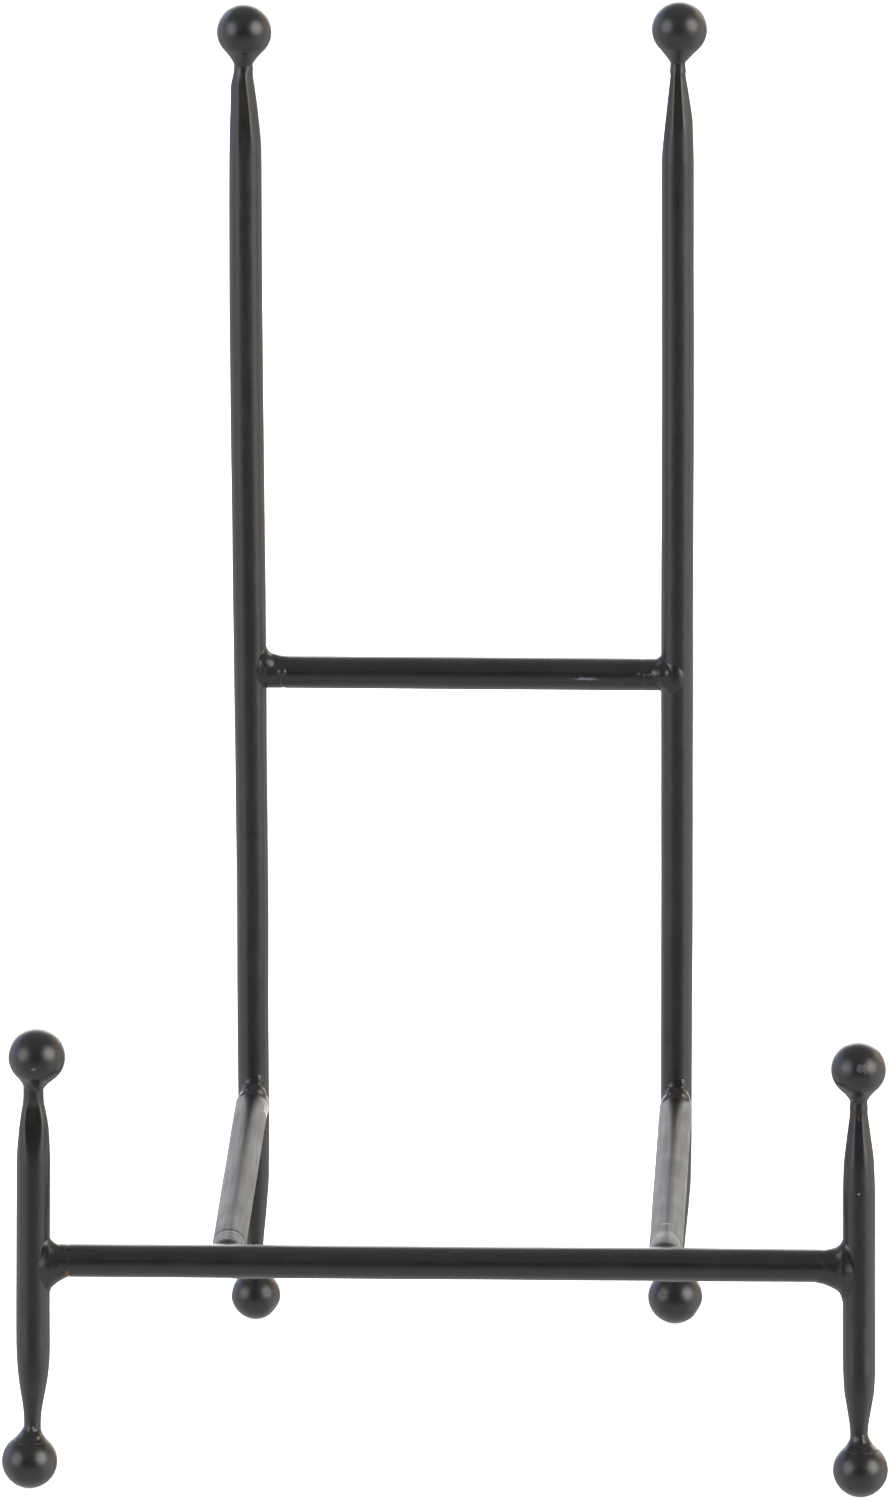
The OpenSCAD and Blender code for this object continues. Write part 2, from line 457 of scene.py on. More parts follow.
# %% How the bars run
# Bar: shifts of its axis to the right and back, each at places up from the foot ball's centre
BOWS = {
    "left_upright": (
        [(0, 0.3), (68, 0.22), (91, 0.34), (125, 0.24), (160, 0.08), (183, 0), (206, -0.16),
         (229, -0.23), (262, -0.1), (278, -0.1), (283, -0.5), (292, -0.6)],
        [(0, 0)]),
    "right_upright": (
        [(0, 0), (68, 0.1), (91, 0.14), (125, 0.13), (160, 0.08), (183, 0.18), (206, 0.2), (229, 0.17),
         (262, 0.08)],
        [(0, 0)]),
    "left_post": (
        [(0, -0.5), (12, -0.45), (18, -0.2), (33, -0.2), (54, 0.14), (67, 0.34), (82, 0.5)],
        [(0, -1.5), (30, 0)]),
    "right_post": (
        [(0, 0.2), (11, 0.13), (18, 0.2), (22, 0.06), (36, -0.02), (60, -0.1), (68, -0.15), (75, -0.3)],
        [(0, -1.5), (30, 0)]),
}
BOW_BLUR = 5.0
# Kind of bar: the ball at its foot and the ball at its top
BALLS_OF = {"upright": ("rear_foot_ball", "top_ball"), "post": ("front_foot_ball", "post_ball")}
# Crossbar: how far its middle lies above its drawn place, and its right end above its middle
RAISED = {"middle_crossbar": (0.13, 0), "front_crossbar": (0.08, 0.26)}


def bar_length(bar):
    """The distance between the drawn centres of a leaning bar's two balls."""
    side, kind = bar.split("_")
    foot, top = (centre_of(f"{side}_{ball}") for ball in BALLS_OF[kind])
    return np.linalg.norm(top - foot)


def axis_at(bar, distance):
    """Points of a leaning bar's axis, a distance up from its foot ball's drawn centre, bow included."""
    side, kind = bar.split("_")
    distance = np.asarray(distance, float)
    to_right, to_back = (eased(table, distance, BOW_BLUR) for table in BOWS[bar])
    straight = centre_of(f"{side}_{BALLS_OF[kind][0]}") + distance[..., None] * lean
    return straight + to_right[..., None] * RIGHT + to_back[..., None] * BACK


def raised_at(crossbar, x):
    """How far a crossbar's axis lies above its drawn place: middle + end * x / half the length."""
    middle, end = RAISED[crossbar]
    return middle + end * x / (size_of(crossbar)[0] / 2)


for bar in BOWS:
    print(bar, "is", bar_length(bar).round(1), "mm long")


# %% [markdown]
# ## Black enamel
#
# The finish is a satin black enamel over steel, dipped or sprayed in one coat. It is a dielectric
# with an index of refraction near 1.5, so it mirrors 4 % of what faces it and far more at a
# grazing angle. The coat is not flat: it has a fine orange peel about 1 mm across, soft patches
# where it dried duller or glossier, and streaks along the bar that the drawing die left in the
# steel under it. The peel is a bump, the patches and streaks change the roughness.
#
# Real streaks are a tenth of a millimetre wide. They are drawn 0.8 mm wide, because finer ones
# would not show.

# %% Sizes of the patterns
PEEL_MM = 1.1
PATCH_MM = 9.0
STREAK_MM = 0.8
# A streak's width divided by its length, which makes it 13 mm long
STREAK_RATIO = 0.06
# The grain that breaks up the edge of a mark
RAGGED_MM = 0.7


def scale_for(millimetres):
    """The Scale of a noise whose features are that many millimetres across: 1 / size in metres."""
    return 1 / (millimetres * MM)


print("the peel's noise scale:", round(scale_for(PEEL_MM)))

# %% Marks on the coat
# A mark's edge is its distance from the middle, in radii, plus this share of a noise round 0.5.
# The mark is full up to the first of the two levels and gone at the second.
RAGGED_SHARE = 2.0
MARK_FULL = 1.5
MARK_GONE = 1.9


def marked(tree, colour, place_on, marks):
    """Lays marks over a colour. A mark is an ellipsoid with a ragged edge: (middle, radii, code)."""
    ragged = add(tree, "ShaderNodeTexNoise", {
        "Vector": place_on, "Scale": scale_for(RAGGED_MM), "Detail": 2.0})
    for middle, radii, code in marks:
        apart = add(tree, "ShaderNodeVectorMath", {
            0: place_on, 1: np.array(middle) * MM}, operation="SUBTRACT")
        scaled = add(tree, "ShaderNodeVectorMath", {
            0: apart.outputs[0], 1: np.array(radii) * MM}, operation="DIVIDE")
        away = add(tree, "ShaderNodeVectorMath", {0: scaled.outputs[0]}, operation="LENGTH")
        broken = add(tree, "ShaderNodeMath", {
            0: ragged.outputs["Fac"], 1: RAGGED_SHARE, 2: away.outputs["Value"]},
            operation="MULTIPLY_ADD")
        inside = add(tree, "ShaderNodeMapRange", {
            "Value": broken.outputs[0], "From Min": MARK_GONE, "From Max": MARK_FULL},
            interpolation_type="SMOOTHSTEP")
        colour = add(tree, "ShaderNodeMix", {
            0: inside.outputs["Result"], 6: colour, 7: linear(code)}, data_type="RGBA").outputs[2]
    return colour


# %% The coat
ENAMEL_IOR = 1.5
DARK_PATCH = (0.35, "#0b0b0c")
BROWN_PATCH = (0.65, "#100f0f")
# The two noises add up to about this much, from the glossiest to the dullest place
NOISES_FROM = 0.6
NOISES_TO = 1.4
GLOSSIER = 0.07
DULLER = 0.09


def enamel(name, roughness, peel, along, marks=()):
    """Satin black enamel. along is the bar's direction, whose streaks are stretched that way."""
    material = bpy.data.materials.new(name)
    material.use_nodes = True
    tree = material.node_tree
    tree.nodes.clear()
    place_on = add(tree, "ShaderNodeTexCoord").outputs["Object"]
    stretch = [STREAK_RATIO if a else 1.0 for a in along]
    drawn = add(tree, "ShaderNodeMapping", {"Vector": place_on, "Scale": stretch})
    streaks = add(tree, "ShaderNodeTexNoise", {
        "Vector": drawn.outputs[0], "Scale": scale_for(STREAK_MM), "Detail": 2.0})
    patches = add(tree, "ShaderNodeTexNoise", {
        "Vector": place_on, "Scale": scale_for(PATCH_MM), "Detail": 3.0, "Roughness": 0.6})
    peel_noise = add(tree, "ShaderNodeTexNoise", {
        "Vector": place_on, "Scale": scale_for(PEEL_MM), "Detail": 2.0})
    both = add(tree, "ShaderNodeMath", {
        0: streaks.outputs["Fac"], 1: patches.outputs["Fac"]}, operation="ADD")
    dull = add(tree, "ShaderNodeMapRange", {
        "Value": both.outputs[0], "From Min": NOISES_FROM, "From Max": NOISES_TO,
        "To Min": roughness - GLOSSIER, "To Max": roughness + DULLER})
    colour = add(tree, "ShaderNodeValToRGB", {"Fac": patches.outputs["Fac"]})
    for stop, (position, code) in zip(colour.color_ramp.elements, [DARK_PATCH, BROWN_PATCH]):
        stop.position = position
        stop.color = linear(code)
    bump = add(tree, "ShaderNodeBump", {
        "Height": peel_noise.outputs["Fac"], "Strength": 1.0, "Distance": peel * MM})
    coat = marked(tree, colour.outputs["Color"], place_on, marks)
    paint = add(tree, "ShaderNodeBsdfPrincipled", {
        "Base Color": coat, "Roughness": dull.outputs["Result"],
        "IOR": ENAMEL_IOR, "Normal": bump.outputs["Normal"]})
    add(tree, "ShaderNodeOutputMaterial", {"Surface": paint.outputs[0]})
    return material


print("enamel mirrors", round(100 * ((ENAMEL_IOR - 1) / (ENAMEL_IOR + 1)) ** 2), "% of what faces it")

# %% Marks and the five enamels
# A pale scratch on the middle crossbar, a brown spot and a painted glint (a pale dot that stands in for a
# highlight) on the right post, a rubbed spot on the right post's ball, a painted glint on the left post's
# ball, and rust where the left post's weld spattered: middle, radii, colour
BROWN_SPOT_DOWN = 11
right_post_neck = axis_at("right_post", bar_length("right_post") - BROWN_SPOT_DOWN)
SCRATCH = [(middle_axis + (28, -3.5, 0.33), (3.6, 1.2, 0.35), "#4c4e5a")]
POST_SPOT_AND_PAINTED_GLINT = [
    (right_post_neck + 1.9 * lean_front, (0.5, 1.0, 0.9), "#30241d"),
    # painted glint: a pale dot that stands in for a highlight on the right post's front
    (axis_at("right_post", 62.9) + 3.6 * lean_front, (0.4, 0.8, 0.3), "#5a5a59"),
]
RUBBED_SPOT_AND_PAINTED_GLINT = [
    (welded_centre("right_post_ball") + (0.9, -5.5, 2.4), (1.7, 1.5, 1.3), "#36373c"),
    # painted glint: a pale fleck on the front of the left post's ball that stands in for a highlight
    (welded_centre("left_post_ball") + (-0.1, -6.0, -0.4), (0.8, 1.0, 0.35), "#4a4943"),
]
RUST = [
    (front_axis + (-83.2, -3.6, 1.0), (1.0, 1.6, 1.2), "#33251f"),
    (front_axis + (-83.0, -3.5, -1.6), (1.2, 1.6, 1.2), "#3a2820"),
]
# Roughness, height of the orange peel in millimetres, and the way that the streaks run. The rails'
# coat is the dullest: their tops face the white wall at a grazing angle, and a glossy coat would
# show it white, where this one gives the eye a soft grey band. The welds' coat is the most
# uneven, because the rough bead shows through it and breaks the highlights up.
enamel_on_rails = enamel("satin_black_enamel_rails", 0.46, 0.005, BACK)
enamel_on_crossbars = enamel("satin_black_enamel_crossbars", 0.28, 0.004, RIGHT, SCRATCH)
enamel_on_uprights = enamel("satin_black_enamel_uprights", 0.29, 0.004, UP, POST_SPOT_AND_PAINTED_GLINT)
enamel_on_balls = enamel("satin_black_enamel_balls", 0.28, 0.007, 0 * UP, RUBBED_SPOT_AND_PAINTED_GLINT)
enamel_on_welds = enamel("satin_black_enamel_welds", 0.27, 0.012, 0 * UP, RUST)
print("enamels:", len([material for material in bpy.data.materials if "enamel" in material.name]))

# %% [markdown]
# ## One formula for round bar, drawn ends and hammered flats
#
# A smith draws a bar's end out by hammering flats on it and then knocking the corners down. Seen
# along the bar, the outline is a circle with a few sides cut off, and every corner is soft.
#
# Each limit says how far out the metal may reach in a direction: the bar's outline, which is a
# table of radii that narrows towards each ball, and each flat, which is a plane. The metal
# reaches about as far as the nearest limit. Taking the plain minimum would give knife-sharp
# corners. Instead each reach is turned over, raised to a high power, added up, and turned back:
# reach = (sum of reach_i^-p)^(-1/p). The power p is the sharpness of the corners.

# %% Soft limits
EDGE_ON = 1e-3


def soft_least(reaches, sharpness):
    """(sum of reach^-p)^(-1/p) over the first axis: a minimum with rounded corners."""
    return np.sum(np.asarray(reaches) ** -sharpness, axis=0) ** (-1 / sharpness)


def facing(cosine, distance):
    """How far out a plane lets the metal reach: distance / cosine, and no limit when it faces away."""
    return distance / np.maximum(cosine, EDGE_ON)


print("soft least of 1 and 1:", soft_least([1.0, 1.0], 40).round(3))

# %% [markdown]
# ## Uprights and posts
#
# An upright or a post runs from the ball at its foot to the ball at its top. Each end is drawn
# down to a neck of 3.2 to 4.5 mm over 15 to 25 mm. Two of the flats catch the eye: the long dark
# one down the front of the left upright's end, and the short one with a rounded lower edge on the
# left post. Where a slanted plane leaves a round bar, the edge is part of an ellipse, so the
# rounded lower edge comes by itself.
#
# An end is given as its outline, in pairs of distance from the ball's drawn centre and radius,
# and its flats. A flat is its compass angle round the bar (0 is the front, 90 the right), its
# distance from the axis at the neck, and its slope. The hammer does not reach right up to the
# ball: closer to its centre than ROUND_TO every flat moves out again, by ROUND_RISE for each
# millimetre, and the neck ends round.

# %% Numbers of the drawn bars
BAR_COLUMNS = 72
BAR_STEP = 0.6
# The sharpness of the corners between flats
CORNER = 38
# A flat's slope counts from this distance
FLATS_FROM = 9.0
ROUND_TO = 10.0
ROUND_RISE = 0.35
# The bar's end lies this far from the ball's centre, inside the ball
INSET = 4.4
OUTLINE_BLUR = 0.9
print("points round a bar:", BAR_COLUMNS, "and rings every", BAR_STEP, "mm")

# %% Drawn ends
# Bar: the end at its foot, then the end at its top, each as its outline and its flats
PLAIN_END = (
    [(8.5, 1.8), (13, 2.1), (20, 2.8), (27, 3.35), (38, 3.56)],
    [(20, 1.85, 0.11), (95, 1.9, 0.10), (160, 1.8, 0.12), (235, 1.85, 0.11), (300, 1.9, 0.10)],
)
ENDS = {
    "left_upright": (
        (PLAIN_END[0] + [(125, 3.66), (160, 3.76)], PLAIN_END[1]),
        ([(7.5, 2.1), (9, 2.12), (10.2, 2.4), (12, 2.9), (14, 3.4), (20, 3.64), (60, 3.8)],
         [(-3, 2.45, 0.062), (47, 1.95, 0.105), (90, 1.9, 0.107), (135, 2.2, 0.09), (180, 2.3, 0.08),
          (225, 2.5, 0.065), (270, 2.9, 0.045), (312, 2.5, 0.062)]),
    ),
    "right_upright": (
        (PLAIN_END[0] + [(125, 3.66)], PLAIN_END[1]),
        ([(8, 1.7), (20, 3.4), (30, 3.68), (63, 3.7)],
         [(0, 1.7, 0.13), (45, 1.65, 0.14), (90, 1.55, 0.178), (135, 1.6, 0.15), (180, 1.6, 0.13),
          (225, 1.7, 0.12), (270, 1.55, 0.11), (315, 1.7, 0.115)]),
    ),
    "left_post": (
        ([(7, 1.9), (9.9, 1.91), (12, 2.14), (14.6, 2.58), (17.2, 3.05), (19.8, 3.4), (22.5, 3.63),
          (26, 3.75)],
         [(5, 1.8, 0.17), (60, 1.85, 0.17), (110, 1.85, 0.17), (180, 1.8, 0.17), (260, 1.85, 0.17),
          (312, 1.85, 0.17)]),
        ([(7.2, 2.24), (9.6, 2.32), (10.7, 2.66), (14, 3.34), (18.5, 3.62), (22.8, 3.78), (29, 3.78)],
         [(3, 1.85, 0.155), (50, 2.75, 0.125), (90, 2.45, 0.17), (135, 2.6, 0.14), (180, 2.7, 0.12),
          (225, 2.6, 0.12), (270, 2.4, 0.125), (318, 2.75, 0.105)]),
    ),
    "right_post": (
        ([(8.5, 1.98), (9.5, 2.06), (11.2, 2.3), (14.1, 2.8), (17.4, 3.36), (21.7, 3.58), (28.3, 3.6)],
         [(5, 1.95, 0.18), (50, 2.0, 0.18), (95, 1.95, 0.18), (155, 1.9, 0.17), (230, 2.0, 0.17),
          (305, 2.0, 0.18)]),
        ([(8, 1.9), (20, 3.36), (28, 3.62), (32, 3.6)],
         [(0, 1.8, 0.13), (45, 1.75, 0.14), (90, 1.8, 0.15), (135, 1.85, 0.14), (180, 1.85, 0.13),
          (225, 1.8, 0.13), (270, 1.75, 0.135), (315, 1.75, 0.125)]),
    ),
}
print("drawn ends:", 2 * len(ENDS))

# %% Drawn bars
def flat_limits(distance, angle, flats):
    """How far out each flat lets the metal reach, at a distance from the ball's centre.

    A flat's plane lies depth + rise * (distance - FLATS_FROM) from the axis, and further out near
    the ball, where the hammer did not reach."""
    deeper = np.maximum(distance - FLATS_FROM, 0)
    rounder = ROUND_RISE * np.maximum(ROUND_TO - distance, 0)
    return [
        facing(np.cos(angle - np.radians(compass)), depth + rise * deeper + rounder)
        for compass, depth, rise in flats
    ]


def weave(s, angle, waves):
    """Slow waves in the skin, in millimetres.

    high * sin(s / spiral + 2 angle) * sin(s / swell) + low * sin(s / ripple - angle)"""
    high, spiral, swell, low, ripple = waves
    return high * np.sin(s / spiral + 2 * angle) * np.sin(s / swell) + low * np.sin(s / ripple - angle)


DRAWN_WAVES = (0.018, 6.1, 17.0, 0.012, 9.7)


def drawn_bar(bar, ends):
    """A leaning bar between its two balls: rings at even steps, each point at its soft least reach."""
    length = bar_length(bar)
    rows = int((length - 2 * INSET) / BAR_STEP)
    distance = np.linspace(INSET, length - INSET, rows)
    s = distance[:, None]
    angle = turn(BAR_COLUMNS)[None, :]
    outlines = []
    planes = []
    for (outline, flats), way in zip(ends, (s, length - s)):
        outlines.append(eased(outline, way, OUTLINE_BLUR))
        planes += flat_limits(way, angle, flats)
    limits = np.broadcast_arrays(np.minimum(*outlines), *planes)
    reach = soft_least(np.stack(limits), CORNER)
    reach = (reach + weave(s, angle, DRAWN_WAVES))[..., None]
    around = np.cos(angle)[..., None] * lean_front + np.sin(angle)[..., None] * RIGHT
    rings = axis_at(bar, distance)[:, None] + reach * around
    return skin(rings, axis_at(bar, distance[[0, -1]]))


for bar, ends in ENDS.items():
    shape = drawn_bar(bar, ends)
    place(bar, shape, enamel_on_uprights, "painted_bar")
    print(bar, len(shape[0]), "points")


# %% [markdown]
# ## Crossbars and rails
#
# These four are cut square and never drawn out, so they stay round all along. A little weave of
# the surface, a few hundredths of a millimetre, bends the highlights as it does on real bar. Where
# the weld pool ends, its heat ate a shallow groove into the bar, which welders call an undercut.

# %% Plain bars
# Bar that is sold as 7 mm is seldom just that: how much more than drawn it has in radius
THICKER = 0.21
PLAIN_STEP = 0.25
PLAIN_WAVES = (0.02, 8.3, 21.0, 0.01, 5.1)
UNDERCUT_WIDE = 0.4
UNDERCUT_DEEP = 0.1
# Distance of the undercuts from a crossbar's cut ends, and from a rail's front end
CROSSBAR_TOE = 4.0
RAIL_TOE = 4.5


def plain_bar(start, end, front, undercuts):
    """A round bar between two points, with rings at even steps and a flat cap at each end.

    An undercut lies at a place along the bar: it takes off deep * exp(-((s - place) / wide)^2)."""
    length = np.linalg.norm(end - start)
    axis = (end - start) / length
    side = np.cross(axis, front)
    s = np.linspace(0, length, int(length / PLAIN_STEP))[:, None]
    angle = turn(BAR_COLUMNS)[None, :]
    eaten = sum(UNDERCUT_DEEP * np.exp(-((s - place) / UNDERCUT_WIDE) ** 2) for place in undercuts)
    reach = (bar_radius + THICKER + weave(s, angle, PLAIN_WAVES) - eaten)[..., None]
    around = np.cos(angle)[..., None] * front + np.sin(angle)[..., None] * side
    return skin(start + s[..., None] * axis + reach * around, [start, end])


print("plain bars are", round(2 * (bar_radius + THICKER), 2), "mm thick")

# %% Placing the crossbars and rails
for node in RAISED:
    half = RIGHT * size_of(node)[0] / 2
    start = centre_of(node) - half + UP * raised_at(node, -half[0])
    end = centre_of(node) + half + UP * raised_at(node, half[0])
    shape = plain_bar(start, end, -BACK, (CROSSBAR_TOE, 2 * half[0] - CROSSBAR_TOE))
    place(node, shape, enamel_on_crossbars, "painted_bar")
    print(node, len(shape[0]), "points")
for side in SIDES:
    node = side + "_side_rail"
    half = BACK * size_of(node)[1] / 2
    shape = plain_bar(centre_of(node) - half, centre_of(node) + half, UP, (RAIL_TOE,))
    place(node, shape, enamel_on_rails, "painted_bar")
    print(node, len(shape[0]), "points")


# %% [markdown]
# ## Balls
#
# The balls are forged or cast, not turned: they are round to within a few tenths, with a soft
# flat here and there where they lay on the anvil. The same soft least formula works on a sphere:
# the limits are the radius and a few planes.

# %% Ball helpers
BALL_ROWS = 64
BALL_COLUMNS = 96
BALL_CORNER = 60


def directions(rows, columns, axis, front):
    """Unit vectors on a grid of latitude and longitude round the axis, without its poles."""
    side = np.cross(axis, front)
    latitude = (np.arange(1, rows + 1) / (rows + 1) - 0.5)[:, None] * np.pi
    longitude = turn(columns)[None, :]
    flat = np.cos(latitude)[..., None]
    return (
        flat * np.cos(longitude)[..., None] * front
        + flat * np.sin(longitude)[..., None] * side
        + np.sin(latitude)[..., None] * axis * np.ones((1, columns, 1))
    )


def ball_reach(way, flats):
    """A ball's reach in units of its radius: the soft least of 1 and its flats, plus a slow wave of
    0.004 * sin(3.1 x + 2.3 z) * cos(4.3 y)."""
    limits = [np.ones(way.shape[:-1])]
    limits += [facing(way @ unit(normal), depth) for normal, depth in flats]
    uneven = 0.004 * np.sin(3.1 * way[..., 0] + 2.3 * way[..., 2]) * np.cos(4.3 * way[..., 1])
    return soft_least(limits, BALL_CORNER) + uneven


print("a ball has", BALL_ROWS, "rings of", BALL_COLUMNS, "points")

# %% Placing the balls
for node, (share, _, flats) in BALLS.items():
    radius = ball_radius * share
    centre = welded_centre(node)
    out = directions(BALL_ROWS, BALL_COLUMNS, lean, lean_front)
    poles = np.array([-lean, lean])
    shape = skin(
        centre + out * radius * ball_reach(out, flats)[..., None],
        centre + poles * radius * ball_reach(poles, flats)[:, None],
    )
    place(node, shape, enamel_on_balls, "painted_ball")
print(len(BALLS), "balls of", len(shape[0]), "points")

# %% [markdown]
# ## The fillet between a ball and its neck
#
# Each ball is welded to its neck, and the metal ran into the corner as a smooth flared collar.
# Its outline leaves the ball at a tangent and ends along the neck. A curve that does both is the
# quadratic Bezier whose middle handle lies where the two tangents cross. The collar is a ring of
# weld metal that goes 0.4 mm deep into ball and neck, as a real weld does, so it is skinned as a
# doughnut. Where the ball sits beside the neck's axis, the collar leans over from one to the other.
# Each lump on it is a place where the welder lingered.

# %% Collar
WELD_COLUMNS = 72
# Points of the collar's outer line; the inner line has half as many
SECTION = 40
DEPTH = 0.4
# How far a lump spreads along the outer line, as a share of it
LUMP_LENGTH = 0.16


def collar(centre, axis, radius, leaves, neck, tip, slip, lumps):
    """A flared ring round the axis, from a ball at centre to a neck that lies slip beside it.

    Its outer line is the Bezier (1 - t)^2 start + 2 t (1 - t) handle + t^2 end, in (radius, height).
    It leaves the ball at an angle from the axis. The inner line comes back DEPTH below the neck and
    below the ball. A lump is (compass, place along the outer line, width, height): it adds
    height * exp(-across^2 - around^2), with both distances counted in widths."""
    start = radius * np.array([np.sin(leaves), np.cos(leaves)])
    handle = np.array([neck, start[1] + (start[0] - neck) * np.tan(leaves)])
    t = np.linspace(0, 1, SECTION)[:, None]
    outer = (1 - t) ** 2 * start + 2 * t * (1 - t) * handle + t ** 2 * np.array([neck, tip])
    back = np.linspace(1, 0, SECTION // 2)
    low = radius - DEPTH
    low_r, low_h = start * low / radius
    inner_r = neck - DEPTH + (low_r - neck + DEPTH) * (1 - back) ** 3
    inner_h = np.maximum(low_h + (tip - low_h) * back, np.sqrt(np.maximum(low ** 2 - inner_r ** 2, 0)))
    section = np.vstack([outer, np.stack([inner_r, inner_h], -1)])
    angle = turn(WELD_COLUMNS)[None, :]
    shift = np.zeros((len(section), WELD_COLUMNS))
    for compass, at, wide, high in lumps:
        across = (np.arange(len(section)) / SECTION - at)[:, None] / LUMP_LENGTH
        around = np.angle(np.exp(1j * (angle - np.radians(compass)))) / wide
        shift = shift + high * np.exp(-across ** 2 - around ** 2)
    reach = (section[:, :1] + shift)[..., None]
    height = section[:, 1]
    leaning_over = np.clip((height - start[1]) / (tip - start[1]), 0, 1)
    middle = centre + height[:, None] * axis + leaning_over[:, None] * slip
    round_front = np.cross(RIGHT, axis)
    out = np.cos(angle)[..., None] * round_front + np.sin(angle)[..., None] * RIGHT
    return skin(middle[:, None] + reach * out)


print("a collar has", SECTION + SECTION // 2, "rings of", WELD_COLUMNS, "points")

# %% Placing the collars
# Kind of ball: bar, whether its neck is above it (1) or below (-1), angle in degrees, height of the tip
FILLETS = {
    "top_ball": ("upright", -1, 47, 7.7),
    "rear_foot_ball": ("upright", 1, 42, 8.4),
    "post_ball": ("post", -1, 43, 7.7),
    "front_foot_ball": ("post", 1, 41, 8.2),
}
# Ball: neck radius and lumps
NECKS = {
    "left_top_ball": (2.1, [(10, 0.95, 0.3, 0.22)]),
    "right_top_ball": (1.66, [(28, 0.9, 0.3, 0.25), (-20, 0.8, 0.4, 0.1)]),
    "left_rear_foot_ball": (1.85, [(-60, 0.5, 0.4, 0.2), (70, 0.4, 0.4, 0.25), (180, 0.5, 0.5, 0.2)]),
    "right_rear_foot_ball": (1.85, [(30, 0.5, 0.4, 0.2), (-110, 0.4, 0.4, 0.25), (160, 0.5, 0.5, 0.2)]),
    "left_post_ball": (2.16, [(-150, 0.5, 0.4, 0.15)]),
    "right_post_ball": (1.82, [(60, 0.6, 0.5, 0.12), (200, 0.5, 0.4, 0.15)]),
    "left_front_foot_ball": (
        1.8, [(-5, 0.85, 0.35, 0.28), (42, 0.4, 0.3, 0.4), (-28, 0.4, 0.3, 0.3), (130, 0.5, 0.4, 0.3),
              (-120, 0.6, 0.4, 0.25)]),
    "right_front_foot_ball": (
        1.95, [(2, 0.15, 0.28, 0.35), (44, 0.2, 0.3, 0.4), (-48, 0.15, 0.3, 0.3), (18, 0.75, 0.3, 0.25),
               (150, 0.5, 0.4, 0.3)]),
}
for node, (neck, lumps) in NECKS.items():
    side, kind = node.split("_", 1)
    bar_kind, sign, leaves, tip = FILLETS[kind]
    bar = f"{side}_{bar_kind}"
    centre = welded_centre(node)
    neck_at = tip if sign > 0 else bar_length(bar) - tip
    slip = axis_at(bar, neck_at) - centre
    slip = slip - lean * (slip @ lean)
    radius = ball_radius * BALLS[node][0]
    shape = collar(centre, sign * lean, radius, np.radians(leaves), neck, tip, slip, lumps)
    place(node + "_weld", shape, enamel_on_welds, "painted_weld")
    print(node, "weld, slip", slip.round(2))


# %% [markdown]
# ## Weld beads between bars
#
# Where two bars meet, the weld fills the corner and lies on both bars as a lumpy pool. This shape
# is easiest to say as a rule in space: melt the two bars together with a soft corner, then let
# the metal stand out a little near the joint. The surface is found from the inside: walk out from
# the joint in every direction, and halve the step until the point lies where the rule changes
# from metal to air. Away from the joint the surface sinks just under the bars' skin.
# Every number in the rule is in millimetres, so a bead can be widened, raised or given one more
# lump without redrawing anything.

# %% Melting two bars together
BEAD_ROWS = 110
BEAD_COLUMNS = 160
# The bead's skin ends this far under the bars' skin
SINK = 0.2
HALVINGS = 22
# The walks start on the ending bar's axis, this many radii from the met bar's axis
START = 0.55
# The corner is this soft at least, as a share, and turns from its lower softness to its upper one
# at this rate per millimetre up the met bar
LEAST_SOFT = 0.04
TURN_RATE = 1.5
DROPLET_ROWS = 12
DROPLET_COLUMNS = 20


def melted(a, b, softness):
    """Distance to two bodies melted together: the lesser one, less h^2 * softness / 4.

    Here h = 1 - |a - b| / softness, and no less than 0."""
    near = np.maximum(softness - np.abs(a - b), 0) / softness
    return np.minimum(a, b) - near ** 2 * softness / 4


def beyond_metal(p, radius, bar_way, met_way, softness):
    """How far points, counted from the joint, lie outside two bars that are melted together.

    The met bar runs both ways along met_way, and the other one starts a radius out along bar_way."""
    under, over = softness
    along_met = p @ met_way
    met = np.linalg.norm(p - along_met[:, None] * met_way, axis=1) - radius
    along_bar = p @ bar_way
    short = np.maximum(radius - along_bar, 0)
    radial = np.linalg.norm(p - along_bar[:, None] * bar_way, axis=1)
    bar = np.hypot(radial, short) - radius
    corner = np.clip(along_bar / radius, LEAST_SOFT, 1)
    blend = corner * (under + (over - under) / (1 + np.exp(-TURN_RATE * along_met)))
    return melted(met, bar, blend)


print("touching bodies with 2 mm of softness gain", -float(melted(0.0, 0.0, 2.0)), "mm")

